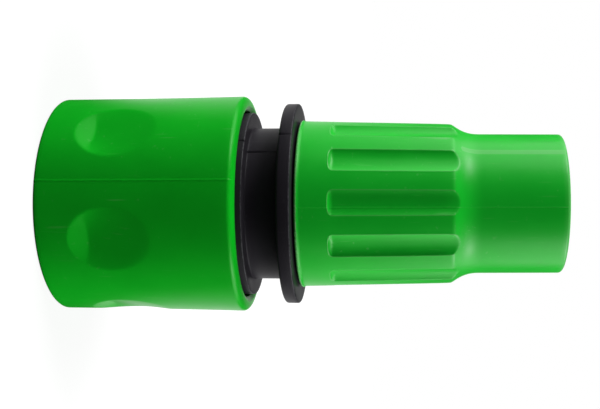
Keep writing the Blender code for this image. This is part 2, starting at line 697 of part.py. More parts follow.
def collet_teeth():
    """Saw teeth down the fingers' inner cone, steep towards the mouth so that a hose can't pull out."""
    tip_bore = COLLET_TIP_RADIUS - COLLET_TIP_WALL
    slope = (COLLET_BORE - tip_bore) / COLLET_TAPER_LENGTH
    points = [(tip_bore, Z_COLLET_TIP)]
    for i in range(TOOTH_COUNT):
        depth = (i + 1) * TOOTH_PITCH
        foot = tip_bore + slope * depth
        points.append((foot - TOOTH_HEIGHT, Z_COLLET_TIP - depth))
        points.append((foot, Z_COLLET_TIP - depth))
    points.append((COLLET_BORE, Z_COLLET_TAPER))
    return points


def make_grip_collet(material):
    outline = [
        (COLLET_BORE, Z_COLLET_FRONT),
        (COLLET_NOSE_RADIUS, Z_COLLET_FRONT),
        (COLLET_NOSE_RADIUS, Z_COLLET_FLANGE),
        (COLLET_FLANGE_RADIUS, Z_COLLET_FLANGE),
        (COLLET_FLANGE_RADIUS, Z_FINGER_ROOT),
        (COLLET_NOSE_RADIUS, Z_FINGER_ROOT),
        (COLLET_NOSE_RADIUS, Z_COLLET_TAPER),
        (COLLET_TIP_RADIUS, Z_COLLET_TIP),
    ] + collet_teeth()
    collet = add_object("grip_collet", turned_mesh("grip_collet", outline, COLLET_SIDES), material)
    low = (WATERWAY_RADIUS, -FINGER_SLOT / 2, Z_FINGER_ROOT + FINGER_ROOT)
    high = (NUT_BORE, FINGER_SLOT / 2, Z_COLLET_TIP + FINGER_ROOT)
    slots = [(low, high, 360 * (i + 0.5) / FINGER_COUNT) for i in range(FINGER_COUNT)]
    cut_or_join(collet, add_object("slot_tool", box_mesh("slot_tool", slots)), "DIFFERENCE")


# Water stop: plunger, its seal, the guide plate and the spring between them

def make_valve(plunger_material, guide_material):
    z_tip = Z_LAND_REAR - PLUNGER_CROWN_LENGTH
    head_radius = PLUNGER_RADIUS + SEAT_GAP + PLUNGER_SEAL_SECTION + PLUNGER_HEAD_OVERHANG
    z_boss = Z_HEAD_REAR + PLUNGER_BOSS_LENGTH
    outline = [
        (0, z_tip),
        (PLUNGER_RADIUS, z_tip),
        (PLUNGER_RADIUS, Z_HEAD_FRONT),
        (head_radius, Z_HEAD_FRONT),
        (head_radius, Z_HEAD_REAR),
        (PLUNGER_BOSS_RADIUS, Z_HEAD_REAR),
        (PLUNGER_BOSS_RADIUS, z_boss),
        (PLUNGER_STEM_RADIUS, z_boss),
        (PLUNGER_STEM_RADIUS, Z_GUIDE_REAR),
        (0, Z_GUIDE_REAR),
    ]
    plunger = add_object(
        "valve_plunger", turned_mesh("valve_plunger", outline, SMALL_SIDES, closed=False), plunger_material
    )
    half_vane = PLUNGER_VANE / 2
    low = (half_vane, half_vane, z_tip - LAND_THICKNESS)
    high = (LAND_HOLE_RADIUS, LAND_HOLE_RADIUS, Z_LAND_REAR - SEAT_GAP)
    pockets = [(low, high, 90 * i) for i in range(4)]
    cut_or_join(plunger, add_object("vane_tool", box_mesh("vane_tool", pockets)), "DIFFERENCE")

    guide_outline = [
        (PLUNGER_STEM_RADIUS + SEAT_GAP, Z_GUIDE_FRONT),
        (CHAMBER_RADIUS - SEAT_GAP, Z_GUIDE_FRONT),
        (CHAMBER_RADIUS - SEAT_GAP, Z_GUIDE_REAR),
        (PLUNGER_STEM_RADIUS + SEAT_GAP, Z_GUIDE_REAR),
    ]
    guide_blank = turned_mesh("valve_guide", guide_outline, SMALL_SIDES)
    guide = add_object("valve_guide", guide_blank, guide_material)
    bm = bmesh.new()
    for i in range(GUIDE_HOLE_COUNT):
        centre = polar(GUIDE_HOLE_RING, 360 * i / GUIDE_HOLE_COUNT, (Z_GUIDE_FRONT + Z_GUIDE_REAR) / 2)
        bmesh.ops.create_cone(
            bm, cap_ends=True, segments=10, radius1=GUIDE_HOLE_RADIUS, radius2=GUIDE_HOLE_RADIUS,
            depth=2 * GUIDE_THICKNESS, matrix=Matrix.Translation(centre),
        )
    holes = add_object("guide_hole_tool", finish_mesh(bm, "guide_hole_tool"))
    cut_or_join(guide, holes, "DIFFERENCE")


# Assembly

def build():
    clear_scene()
    axis = bpy.data.objects.new("connector_axis", None)
    bpy.context.scene.collection.objects.link(axis)

    green = plastic("green_polypropylene", (0.02, 0.42, 0.03), 0.35)
    light_green = plastic("light_green_polypropylene", (0.03, 0.45, 0.04), 0.35)
    black = plastic("black_abs", (0.01, 0.01, 0.012), 0.4)
    white = plastic("white_acetal", (0.75, 0.75, 0.72), 0.35)
    grey = plastic("grey_acetal", (0.35, 0.36, 0.37), 0.4)
    rubber = plastic("black_nitrile_rubber", (0.01, 0.01, 0.01), 0.7)
    steel = plastic("stainless_spring_wire", (0.6, 0.6, 0.62), 0.3, 1.0)

    make_release_sleeve(green)
    z_seal = make_front_socket(black)
    make_claws(white)
    make_rear_body(black)
    make_grip_nut(light_green)
    make_grip_collet(grey)
    make_valve(grey, white)

    socket_seal_radius = COLLAR_BORE - SEAT_GAP - SOCKET_SEAL_SECTION / 2
    seal_ring("socket_seal", socket_seal_radius, SOCKET_SEAL_SECTION, z_seal, rubber)
    plunger_seal_radius = PLUNGER_RADIUS + SEAT_GAP + PLUNGER_SEAL_SECTION / 2
    z_plunger_seal = Z_SEAL_FRONT + PLUNGER_SEAL_SECTION / 2
    seal_ring("plunger_seal", plunger_seal_radius, PLUNGER_SEAL_SECTION, z_plunger_seal, rubber)
    coil_spring(
        "sleeve_spring", (COLLAR_BORE + COLLAR_RADIUS) / 2, SLEEVE_SPRING_WIRE, SLEEVE_SPRING_PITCH,
        Z_CAM_REAR + SEAT_GAP, Z_COLLAR_FRONT - SEAT_GAP, SLEEVE_SPRING_SIDES, steel,
    )
    coil_spring(
        "valve_spring", VALVE_SPRING_RADIUS, VALVE_SPRING_WIRE, VALVE_SPRING_PITCH,
        Z_HEAD_REAR + SEAT_GAP, Z_GUIDE_FRONT - SEAT_GAP, VALVE_SPRING_SIDES, steel,
    )


build()
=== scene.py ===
"""Looks of the garden hose quick connector: green release sleeve, black body, green grip nut.

The connector stands on the sleeve's mouth and +Z runs along its axis to the hose end. The camera
is turned on its side, because the photograph shows the axis lying across the picture. Sizes are
in millimetres and become metres where a mesh is made. Angles run about Z from +X, in degrees.
"""
import math

import bmesh
import bpy
import numpy as np
from mathutils import Matrix, Vector


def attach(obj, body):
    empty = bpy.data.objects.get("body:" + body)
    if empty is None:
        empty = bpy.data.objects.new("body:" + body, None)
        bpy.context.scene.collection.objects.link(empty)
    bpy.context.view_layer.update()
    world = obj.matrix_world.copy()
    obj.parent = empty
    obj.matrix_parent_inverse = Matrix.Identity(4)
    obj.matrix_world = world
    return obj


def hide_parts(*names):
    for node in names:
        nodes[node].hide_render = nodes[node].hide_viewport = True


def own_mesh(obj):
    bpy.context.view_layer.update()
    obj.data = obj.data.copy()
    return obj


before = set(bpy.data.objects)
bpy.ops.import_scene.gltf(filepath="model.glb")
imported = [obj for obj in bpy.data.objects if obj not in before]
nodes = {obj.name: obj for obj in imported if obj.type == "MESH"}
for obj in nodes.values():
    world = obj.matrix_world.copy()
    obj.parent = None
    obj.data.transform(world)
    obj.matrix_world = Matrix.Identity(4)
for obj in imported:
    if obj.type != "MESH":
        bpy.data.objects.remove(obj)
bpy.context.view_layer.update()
MM = 0.001


# Front socket
# The black tube that the tap nose enters, moulded in ABS. It has a lip at the mouth that stops the
# sleeve, four windows for the claws and a groove for its O-ring, and is welded into the rear body.

def linear(hex_colour):
    """Turn an sRGB hex colour into linear RGBA."""
    parts = np.array([int(hex_colour[i:i + 2], 16) for i in (1, 3, 5)]) / 255
    low = parts / 12.92
    high = ((parts + 0.055) / 1.055) ** 2.4
    return (*np.where(parts <= 0.04045, low, high).tolist(), 1.0)


def add_node(tree, kind, settings=None, inputs=None):
    """Add a shader node with its property settings; inputs are values or output sockets to link."""
    node = tree.nodes.new(kind)
    for key, value in (settings or {}).items():
        setattr(node, key, value)
    for key, value in (inputs or {}).items():
        if isinstance(value, bpy.types.NodeSocket):
            tree.links.new(value, node.inputs[key])
        else:
            node.inputs[key].default_value = value
    return node


def new_material(name):
    """Return a material with an empty node tree, the tree, and its output node."""
    material = bpy.data.materials.new(name)
    material.use_nodes = True
    tree = material.node_tree
    tree.nodes.clear()
    return material, tree, add_node(tree, "ShaderNodeOutputMaterial")


def rounded_outline(corners, arc_steps=4):
    """Closed outline of (radius, z) points from corners of (radius, z, fillet, spacing to next).

    A fillet is an arc tangent to both sides of its corner; a straight run gets even points.
    """
    places = np.array([corner[:2] for corner in corners], float)
    count = len(corners)
    starts = []
    ends = []
    arcs = []
    for i, corner in enumerate(corners):
        here = places[i]
        back = places[i - 1] - here
        on = places[(i + 1) % count] - here
        back /= np.linalg.norm(back)
        on /= np.linalg.norm(on)
        half = 0.5 * math.acos(np.clip(back @ on, -1, 1))
        fillet = corner[2]
        if fillet == 0 or abs(math.sin(2 * half)) < 1e-6:
            starts.append(here)
            ends.append(here)
            arcs.append(here[None])
            continue
        reach = fillet / math.tan(half)
        middle = (back + on) / np.linalg.norm(back + on)
        centre = here + middle * fillet / math.sin(half)
        first = here + back * reach - centre
        last = here + on * reach - centre
        share = np.linspace(0, 1, arc_steps + 1)[:, None]
        sweep = math.pi - 2 * half
        arc = np.sin((1 - share) * sweep) * first + np.sin(share * sweep) * last
        starts.append(centre + first)
        ends.append(centre + last)
        arcs.append(centre + arc / math.sin(sweep))
    points = []
    for i, corner in enumerate(corners):
        points.append(arcs[i])
        spacing = corner[3] if len(corner) > 3 else 0
        if spacing:
            gap = starts[(i + 1) % count] - ends[i]
            steps = int(np.linalg.norm(gap) / spacing)
            if steps > 1:
                points.append(ends[i] + gap * np.linspace(0, 1, steps + 1)[1:-1, None])
    return np.concatenate(points)


def turn(radius, angle, height):
    """Points from arrays of radius, angle in degrees and height, broadcast to one grid."""
    radius, angle, height = np.broadcast_arrays(radius, np.radians(angle), height)
    return np.stack([radius * np.cos(angle), radius * np.sin(angle), height], axis=-1)


def grid_faces(rows, columns, ring):
    """Quads of a grid whose columns join up; with ring the last row also joins the first."""
    row = np.arange(rows if ring else rows - 1)[:, None]
    column = np.arange(columns)[None, :]
    after = (row + 1) % rows
    beside = (column + 1) % columns
    quads = [
        row * columns + column, row * columns + beside,
        after * columns + beside, after * columns + column,
    ]
    return np.stack(np.broadcast_arrays(*quads), axis=-1)


def mesh_object(name, points, quads, sharp=40, caps=()):
    """Make an object from points in mm, an array of quads, and end caps as index arrays."""
    quads = quads.reshape(-1, 4)
    loops = np.concatenate([quads.ravel(), *caps]).astype(np.int32)
    sizes = np.concatenate([np.full(len(quads), 4), [len(cap) for cap in caps]]).astype(np.int32)
    starts = np.concatenate([[0], np.cumsum(sizes)[:-1]]).astype(np.int32)
    mesh = bpy.data.meshes.new(name)
    mesh.vertices.add(points.size // 3)
    mesh.vertices.foreach_set("co", (points.ravel() * MM).astype(np.float32))
    mesh.loops.add(len(loops))
    mesh.loops.foreach_set("vertex_index", loops)
    mesh.polygons.add(len(sizes))
    mesh.polygons.foreach_set("loop_start", starts)
    mesh.polygons.foreach_set("loop_total", sizes)
    mesh.update(calc_edges=True)
    mesh.validate()
    mesh.shade_smooth()
    mesh.set_sharp_from_angle(angle=math.radians(sharp))
    piece = bpy.data.objects.new(name, mesh)
    bpy.context.scene.collection.objects.link(piece)
    return piece


def dress(piece, material, body, node):
    """Give a new piece its material and body, and let it stand for its CAD node."""
    piece.data.materials.append(material)
    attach(piece, body)
    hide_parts(node)


def moulded_plastic(
    name, colour, roughness, shine=0.21, grain=0.35, grain_height=0.004, wear=0.0,
    edge_wear_and_highlight=0.0, rubbed_edge_highlights=(), pale="#c9d8c4",
):
    """Injection-moulded plastic, dyed through: a fine spark-eroded grain that softens its gloss,
    slow changes of gloss where the melt cooled unevenly, and by the share of wear paler specks and
    fine scratches along the axis, as a handled surface has. The edge share is that of the pale
    colour painted on all crisp convex edges, a painted highlight with a little real wear, and the
    list of rubbed edges gives the height, half width and share of single edges painted pale in
    patches, painted highlight lines that are partly real rubbing. Grain, its height and rubbed
    edges are in millimetres."""
    material, tree, output = new_material(name)
    place = add_node(tree, "ShaderNodeTexCoord").outputs["Object"]
    grain_noise = add_node(tree, "ShaderNodeTexNoise", inputs={
        "Vector": place, "Scale": 1 / (grain * MM), "Detail": 2.0, "Roughness": 0.6})
    flow_noise = add_node(tree, "ShaderNodeTexNoise", inputs={
        "Vector": place, "Scale": 1 / (9 * MM), "Detail": 3.0, "Roughness": 0.55})
    gloss = add_node(tree, "ShaderNodeMapRange", inputs={
        "Value": flow_noise.outputs["Fac"], "From Min": 0.3, "From Max": 0.7,
        "To Min": roughness - 0.04, "To Max": roughness + 0.04})
    specks = add_node(tree, "ShaderNodeTexNoise", inputs={
        "Vector": place, "Scale": 1 / (0.8 * MM), "Detail": 1.0})
    speck = add_node(tree, "ShaderNodeMapRange", inputs={
        "Value": specks.outputs["Fac"], "From Min": 0.70, "From Max": 0.78})
    drawn_out = add_node(tree, "ShaderNodeMapping", inputs={
        "Vector": place, "Scale": (1, 1, 0.06)})
    streaks = add_node(tree, "ShaderNodeTexNoise", inputs={
        "Vector": drawn_out.outputs["Vector"], "Scale": 1 / (0.45 * MM), "Detail": 1.0})
    streak = add_node(tree, "ShaderNodeMapRange", inputs={
        "Value": streaks.outputs["Fac"], "From Min": 0.68, "From Max": 0.76})
    marks = add_node(tree, "ShaderNodeMath", {"operation": "MAXIMUM"}, {
        0: speck.outputs["Result"], 1: streak.outputs["Result"]})
    height = add_node(tree, "ShaderNodeSeparateXYZ", inputs={0: place}).outputs["Z"]
    # Pointiness paints the pale colour on crisp convex edges: a painted highlight, with a little
    # real wear.
    edges = add_node(tree, "ShaderNodeMapRange", inputs={
        "Value": add_node(tree, "ShaderNodeNewGeometry").outputs["Pointiness"],
        "From Min": 0.508, "From Max": 0.53, "To Max": edge_wear_and_highlight})
    # Each band paints a pale line round one edge: a painted highlight line, partly real rubbing.
    for edge_height, half_width, share in rubbed_edge_highlights:
        band = add_node(tree, "ShaderNodeMath", {"operation": "COMPARE"}, {
            0: height, 1: edge_height * MM, 2: half_width * MM})
        band_grain = add_node(tree, "ShaderNodeMapRange", inputs={
            "Value": grain_noise.outputs["Fac"], "From Min": 0.35, "From Max": 0.65,
            "To Max": share})
        rubbed_band_highlight = add_node(tree, "ShaderNodeMath", {"operation": "MULTIPLY"}, {
            0: band.outputs[0], 1: band_grain.outputs["Result"]})
        edges = add_node(tree, "ShaderNodeMath", {"operation": "MAXIMUM"}, {
            0: edges.outputs[0], 1: rubbed_band_highlight.outputs[0]})
    patches = add_node(tree, "ShaderNodeMapRange", inputs={
        "Value": flow_noise.outputs["Fac"], "From Min": 0.42, "From Max": 0.62, "To Max": wear})
    wear_and_edge_highlight = add_node(tree, "ShaderNodeMath", {"operation": "MULTIPLY_ADD"}, {
        0: marks.outputs[0], 1: patches.outputs["Result"], 2: edges.outputs[0]})
    tint = add_node(tree, "ShaderNodeMapRange", inputs={
        "Value": flow_noise.outputs["Fac"], "From Min": 0.25, "From Max": 0.75,
        "To Min": 0.95, "To Max": 1.05})
    dye = add_node(tree, "ShaderNodeHueSaturation", inputs={
        "Color": linear(colour), "Value": tint.outputs["Result"]})
    shade = add_node(tree, "ShaderNodeMix", {"data_type": "RGBA"}, {
        "Factor": wear_and_edge_highlight.outputs[0], "A": dye.outputs["Color"], "B": linear(pale)})
    bump = add_node(tree, "ShaderNodeBump", inputs={
        "Height": grain_noise.outputs["Fac"], "Distance": grain_height * MM, "Strength": 1.0})
    shader = add_node(tree, "ShaderNodeBsdfPrincipled", inputs={
        "Base Color": shade.outputs["Result"], "Roughness": gloss.outputs["Result"],
        "Normal": bump.outputs["Normal"], "IOR": 1.49, "Specular IOR Level": shine})
    tree.links.new(shader.outputs["BSDF"], output.inputs["Surface"])
    return material


def row_nearest(outline, radius, height):
    """Index of the point of an outline that is nearest to a radius and height."""
    return int(np.argmin(np.hypot(outline[:, 0] - radius, outline[:, 1] - height)))


# Black ABS: nearly black and half matt, with a soft grey sheen towards its sides. The rear edges of
# its collar and flange are painted a little pale: a painted highlight line on each, partly real
# rubbing.
black_abs = moulded_plastic(
    "black_abs", "#232126", 0.44, shine=0.09, wear=0.02, pale="#a2a3a8",
    rubbed_edge_highlights=((32.05, 0.08, 0.14), (39.62, 0.09, 0.12)),
)

claw_count = 4
window_low, window_high, window_half = 7.1, 11.9, 2.8
lip_radius, lip_front, lip_rear = 15.2, 0.4, 1.8
tube_radius, bore_radius = 11.0, 8.6
plug_radius, plug_low, plug_high = 12.1, 26.3, 31.0
groove_radius, groove_low, groove_high = 10.3, 27.6, 29.7
chamber_radius = 9.0
port_radius, port_low, port_high = 5.6, 23.6, 25.2
seat_radius = 7.7
socket_corners = [
    (9.8, lip_front, 0.25), (lip_radius, lip_front, 0.35), (lip_radius, lip_rear, 0.15),
    (tube_radius, lip_rear, 0.3), (tube_radius, window_low, 0), (tube_radius, window_high, 0, 1.5),
    (tube_radius, plug_low, 0.2), (plug_radius, plug_low, 0.2), (plug_radius, groove_low, 0.1),
    (groove_radius, groove_low, 0.1), (groove_radius, groove_high, 0.1),
    (plug_radius, groove_high, 0.1), (plug_radius, plug_high, 0.2),
    (chamber_radius, plug_high, 0.1), (chamber_radius, port_high, 0.2),
    (port_radius, port_high, 0.2), (port_radius, port_low, 0.2), (seat_radius, port_low, 0.2, 1.5),
    (seat_radius, 15.2, 0.4), (bore_radius, 14.0, 0.4), (bore_radius, window_high, 0),
    (bore_radius, window_low, 0), (bore_radius, 1.6, 0.3),
]
socket_outline = rounded_outline(socket_corners)
socket_r = socket_outline[:, :1]
socket_z = socket_outline[:, 1:]
# The columns follow the parallel walls of the windows: inside a window they are spread over its
# width, whatever the radius, and between two windows they share the rest of the turn.
across = np.linspace(-1, 1, 13)[:-1]
between = np.linspace(0, 1, 25)[:-1]
window_edge = np.degrees(np.arcsin(window_half / socket_r))
past_window = window_edge + (90 - 2 * window_edge) * between
quarter = np.concatenate([window_edge * across, past_window], axis=1)
socket_angle = np.concatenate([quarter + 90 * i for i in range(claw_count)], axis=1)
socket_points = turn(socket_r, socket_angle, socket_z)
rows, columns = socket_angle.shape
socket_quads = grid_faces(rows, columns, ring=True)
outer_row = row_nearest(socket_outline, tube_radius, window_low)
bore_row = row_nearest(socket_outline, bore_radius, window_high)
open_columns = (np.arange(columns) % len(quarter[0])) < len(across)
kept = np.ones((rows, columns), bool)
kept[outer_row, open_columns] = False
kept[bore_row, open_columns] = False
walls = []
for i in range(claw_count):
    first = i * quarter.shape[1]
    run = (first + np.arange(len(across) + 1)) % columns
    near_outer = outer_row * columns + run
    far_outer = near_outer + columns
    far_bore = bore_row * columns + run
    near_bore = far_bore + columns
    for one, other in ((near_outer, near_bore), (far_bore, far_outer)):
        walls.append(np.stack([one[:-1], one[1:], other[1:], other[:-1]], axis=-1))
    walls.append(np.array([[near_outer[0], near_bore[0], far_bore[0], far_outer[0]]]))
    walls.append(np.array([[far_outer[-1], far_bore[-1], near_bore[-1], near_outer[-1]]]))
socket_quads = np.concatenate([socket_quads[kept], *walls])
socket = mesh_object("front_socket_moulding", socket_points, socket_quads)
dress(socket, black_abs, "core", "front_socket")


# Claws
# Four loose hooks of white acetal, moulded one by one. The sleeve's cam holds them in; each slides
# outwards in its window when the sleeve is pulled back.

# Natural acetal: off-white and smooth from the mould, with a waxy half gloss.
white_acetal = moulded_plastic("white_acetal", "#dcdcd4", 0.38, grain_height=0.002)


def rounded_copy(name, node, material, body, edge):
    """Stand a copy in for a CAD node, with its triangles welded and its corners rounded, in mm."""
    mesh = nodes[node].data.copy()
    mesh.name = name
    mesh.materials.clear()
    merged = bmesh.new()
    merged.from_mesh(mesh)
    bmesh.ops.remove_doubles(merged, verts=merged.verts, dist=0.002 * MM)
    bmesh.ops.dissolve_limit(
        merged, angle_limit=math.radians(1), verts=merged.verts, edges=merged.edges)
    merged.to_mesh(mesh)
    merged.free()
    piece = bpy.data.objects.new(name, mesh)
    bpy.context.scene.collection.objects.link(piece)
    rounding = piece.modifiers.new("edge_rounding", "BEVEL")
    rounding.width = edge * MM
    rounding.segments = 3
    rounding.limit_method = "ANGLE"
    rounding.angle_limit = math.radians(35)
    rounding.use_clamp_overlap = True
    mesh.shade_smooth()
    shading = piece.modifiers.new("face_shading", "WEIGHTED_NORMAL")
    shading.weight = 100
    dress(piece, material, body, node)


for i in range(1, claw_count + 1):
    rounded_copy(
        f"claw_{i}_moulding", f"claw_{i}", white_acetal, f"hook_{i}", edge=0.16)


# Release sleeve
# The green outer moulding of polypropylene, which slides back to let the tap nose go. Six dimples
# scooped into it give the fingers hold, and its two mould halves leave a fine seam on each side.

# Dyed polypropylene: a deep, full green with a soft broad sheen, lightly scuffed by handling.
green_sleeve = moulded_plastic(
    "green_polypropylene_sleeve", "#0ab21e", 0.33, shine=0.12, wear=0.045)


def from_angle(angle, centre):
    """Signed angle in degrees from a centre, the short way round."""
    return (angle - centre + 180) % 360 - 180


def columns_with_seams(count, seams, width=0.9, extra=10):
    """Angles of a turned grid, even all round but crowded close to each seam."""
    even = np.arange(count) * 360 / count
    clear = np.ones(count, bool)
    crowded = []
    for seam in seams:
        clear &= np.abs(from_angle(even, seam)) > width
        crowded.append(seam + width * np.linspace(-1, 1, extra) ** 3)
    return np.sort(np.concatenate([even[clear], *crowded]) % 360)


def soft_least(a, b, softness):
    """Least of two arrays with a rounded changeover: a circle-like blend of the given softness."""
    return 0.5 * (a + b - np.sqrt((a - b) ** 2 + softness ** 2))


def seam_line(angle, seam, radius, width):
    """Share of a seam's height: one on its line, falling as a bell curve of the arc from it."""
    return np.exp(-(np.radians(from_angle(angle, seam)) * radius / width) ** 2)


def turned_piece(name, points, sharp=40):
    """Make an object from a grid of points that closes both around the axis and around its wall."""
    return mesh_object(name, points, grid_faces(*points.shape[:2], ring=True), sharp)


sleeve_length, sleeve_radius, sleeve_bore = 31.35, 17.8, 15.6
sleeve_flare, flare_end = 0.2, 30.1
rear_rim, rear_round_z = 16.3, 1.05
cam_low, cam_high, cam_wide, cam_narrow = 2.1, 12.5, 14.6, 11.79
dense_low, dense_high = 4.8, 18.9
sleeve_seams = (258.5, 78.5)
sleeve_corners = [
    (15.9, 0.0, 0.15), (sleeve_radius, 0.0, 0.45, 0.5), (sleeve_radius, dense_low, 0, 0.17),
    (sleeve_radius, dense_high, 0, 0.8), (sleeve_radius, sleeve_length - rear_round_z, 0),
    (sleeve_radius, sleeve_length, 0), (rear_rim, sleeve_length, 0),
    (sleeve_bore, sleeve_length - 0.45, 0.1, 1.2), (sleeve_bore, cam_high, 0.3),
    (cam_narrow, cam_high, 0.15, 0.8), (cam_wide, cam_low, 0.15), (sleeve_bore, cam_low, 0.2),
    (sleeve_bore, 0.4, 0.1),
]
sleeve_outline = rounded_outline(sleeve_corners)
# The rear corner becomes a quarter ellipse, which starts tight and runs out flat to the rim.
corner_row = row_nearest(sleeve_outline, sleeve_radius, sleeve_length)
quarter_turn = np.linspace(0, math.pi / 2, 15)[1:-1, None]
rear_arc = np.hstack([
    rear_rim + (sleeve_radius - rear_rim) * np.cos(quarter_turn),
    sleeve_length - rear_round_z + rear_round_z * np.sin(quarter_turn),
])
sleeve_outline = np.concatenate([
    sleeve_outline[:corner_row], rear_arc, sleeve_outline[corner_row + 1:]])
sleeve_r = sleeve_outline[:, :1]
sleeve_z = sleeve_outline[:, 1:]
sleeve_angle = columns_with_seams(460, sleeve_seams)[None, :]
# The share of the skin's forms that a row takes: none at this radius, all from this much above it.
skin_start, skin_fade = 16.6, 0.8
outside = np.clip((sleeve_r - skin_start) / skin_fade, 0, 1)
flare = sleeve_flare * (np.minimum(sleeve_z, flare_end) / sleeve_length) ** 3
skin_radius = sleeve_r + flare * outside

dimple_count, dimple_angle = 6, 48.5
dimple_depth, dimple_centre = 1.24, 11.85
dimple_half_length, dimple_half_width = 6.75, 5.45
ramp_slope = 0.38
rise_start, rise_power = -0.6, 1.35
rim_rounding, ramp_softness = 0.1, 0.06
dimples = np.zeros(np.broadcast_shapes(sleeve_angle.shape, sleeve_z.shape))
for i in range(dimple_count):
    # Each dimple fills an ellipse in angle and height. It has a straight ramp from its mouth-side
    # rim and a trough, parabolic across, that rises to nothing at the rear rim; the lesser of the
    # two depths d counts, and the root of d squared plus the rounding squared rounds the rim.
    turned = np.radians(from_angle(sleeve_angle, dimple_angle + 360 / dimple_count * i))
    aside = turned * sleeve_radius / dimple_half_width
    along = (sleeve_z - dimple_centre) / dimple_half_length
    inside = 1 - aside ** 2 - along ** 2
    front = dimple_centre - dimple_half_length * np.sqrt(np.clip(1 - aside ** 2, 0, 1))
    ramp = ramp_slope * (sleeve_z - front)
    across_share = np.clip(inside, 0, 1) / np.clip(1 - along ** 2, 0.02, 1)
    to_rear = np.clip((along - rise_start) / (1 - rise_start), 0, 1)
    trough = dimple_depth * (1 - to_rear ** rise_power) * across_share
    depth = np.clip(soft_least(ramp, trough, ramp_softness), 0, None)
    depth = np.sqrt(depth ** 2 + rim_rounding ** 2) - rim_rounding
    dimples += np.where(inside > 0, depth, 0)
seam_height, seam_width = 0.06, 0.13
seam_ridge = seam_height * sum(
    seam_line(sleeve_angle, seam, sleeve_radius, seam_width) for seam in sleeve_seams)
sleeve_points = turn(skin_radius + (seam_ridge - dimples) * outside, sleeve_angle, sleeve_z)
sleeve = turned_piece("release_sleeve_moulding", sleeve_points)
dress(sleeve, green_sleeve, "sleeve", "release_sleeve")


# Springs
# Two compression springs of stainless wire, coiled cold with the last turn at each end closed. The
# large one pushes the sleeve to the mouth, the small one closes the water stop.

def drawn_steel(name):
    """Drawn stainless wire: bright metal of a faint brown tone, with a gloss that fine scratches
    change from place to place."""
    material, tree, output = new_material(name)
    place = add_node(tree, "ShaderNodeTexCoord").outputs["Object"]
    marks = add_node(tree, "ShaderNodeTexNoise", inputs={
        "Vector": place, "Scale": 1 / (0.25 * MM), "Detail": 3.0})
    gloss = add_node(tree, "ShaderNodeMapRange", inputs={
        "Value": marks.outputs["Fac"], "To Min": 0.2, "To Max": 0.4})
    shader = add_node(tree, "ShaderNodeBsdfPrincipled", inputs={
        "Base Color": linear("#b9b7b2"), "Metallic": 1.0, "Roughness": gloss.outputs["Result"]})
    tree.links.new(shader.outputs["BSDF"], output.inputs["Surface"])
    return material


spring_steel = drawn_steel("stainless_spring_wire")


def coil(name, radius, wire, pitch, low, high, steps_a_turn=48):
    """Round wire along a helix that rises by a closed turn, the open turns and a closed turn."""
    closed = 1.15 * wire
    open_turns = (high - low - wire - 2 * closed) / pitch
    turns = np.linspace(0, open_turns + 2, int(steps_a_turn * (open_turns + 2)))[:, None]
    rise = closed * np.clip(turns, 0, 1) + pitch * np.clip(turns - 1, 0, open_turns)
    rise += closed * np.clip(turns - 1 - open_turns, 0, 1)
    around = np.linspace(0, 2 * math.pi, 17)[None, :-1]
    wire_r = radius + wire / 2 * np.cos(around)
    wire_z = low + wire / 2 + rise - wire / 2 * np.sin(around)
    points = turn(wire_r, 360 * turns, wire_z)
    rows, columns = points.shape[:2]
    caps = (np.arange(columns)[::-1], (rows - 1) * columns + np.arange(columns))
    return mesh_object(name, points, grid_faces(rows, columns, ring=False), caps=caps)


sleeve_spring_low, sleeve_spring_high = 12.8, 25.65
sleeve_spring = coil("sleeve_spring_coil", 13.8, 1.2, 2.5, sleeve_spring_low, sleeve_spring_high)
dress(sleeve_spring, spring_steel, "core", "sleeve_spring")
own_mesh(sleeve_spring)
valve_spring_low, valve_spring_high = 29.0, 36.2
valve_spring = coil("valve_spring_coil", 4.6, 0.9, 1.7, valve_spring_low, valve_spring_high)
dress(valve_spring, spring_steel, "core", "valve_spring")
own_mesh(valve_spring)


# Water stop
# A grey acetal plunger that the tap nose pushes open, its O-ring, and the white perforated plate
# that guides its stem. Another O-ring of nitrile rubber seals the front socket in the rear body.

# Grey acetal: smooth from the mould, with a dull half gloss.
grey_acetal = moulded_plastic("grey_acetal", "#7b7e80", 0.4, grain_height=0.002)


def moulded_rubber(name):
    """Nitrile rubber: matt black with a faint bloom of wax that lightens it in patches."""
    material, tree, output = new_material(name)
    place = add_node(tree, "ShaderNodeTexCoord").outputs["Object"]
    bloom = add_node(tree, "ShaderNodeTexNoise", inputs={
        "Vector": place, "Scale": 1 / (1.5 * MM), "Detail": 4.0})
    shade = add_node(tree, "ShaderNodeMix", {"data_type": "RGBA"}, {
        "Factor": bloom.outputs["Fac"], "A": linear("#101011"), "B": linear("#232325")})
    shader = add_node(tree, "ShaderNodeBsdfPrincipled", inputs={
        "Base Color": shade.outputs["Result"], "Roughness": 0.62})
    tree.links.new(shader.outputs["BSDF"], output.inputs["Surface"])
    return material


seal_rubber = moulded_rubber("nitrile_rubber")


def o_ring(name, inner, section, low):
    """Torus: a circle of the seal's section turned about Z, standing on the given height."""
    around = np.linspace(0, 2 * math.pi, 21)[:-1, None]
    radius = inner + section / 2 + section / 2 * np.cos(around)
    height = low + section / 2 + section / 2 * np.sin(around)
    return turned_piece(name, turn(radius, np.arange(0, 360, 3)[None, :], height))


rounded_copy(
    "valve_plunger_moulding", "valve_plunger", grey_acetal, "plunger", edge=0.15)
rounded_copy(
    "valve_guide_moulding", "valve_guide", white_acetal, "core", edge=0.1)
plunger_seal = o_ring("plunger_o_ring", 5.6, 1.4, 25.5)
dress(plunger_seal, seal_rubber, "plunger", "plunger_seal")
socket_seal = o_ring("socket_o_ring", 10.6, 1.5, 27.9)
dress(socket_seal, seal_rubber, "core", "socket_seal")


# Rear body
# One black ABS moulding: the collar that shows inside the sleeve's rear, the neck, the flange, the
# thread for the nut and the barbed tail for the hose. Its mould halves meet with a fine step.

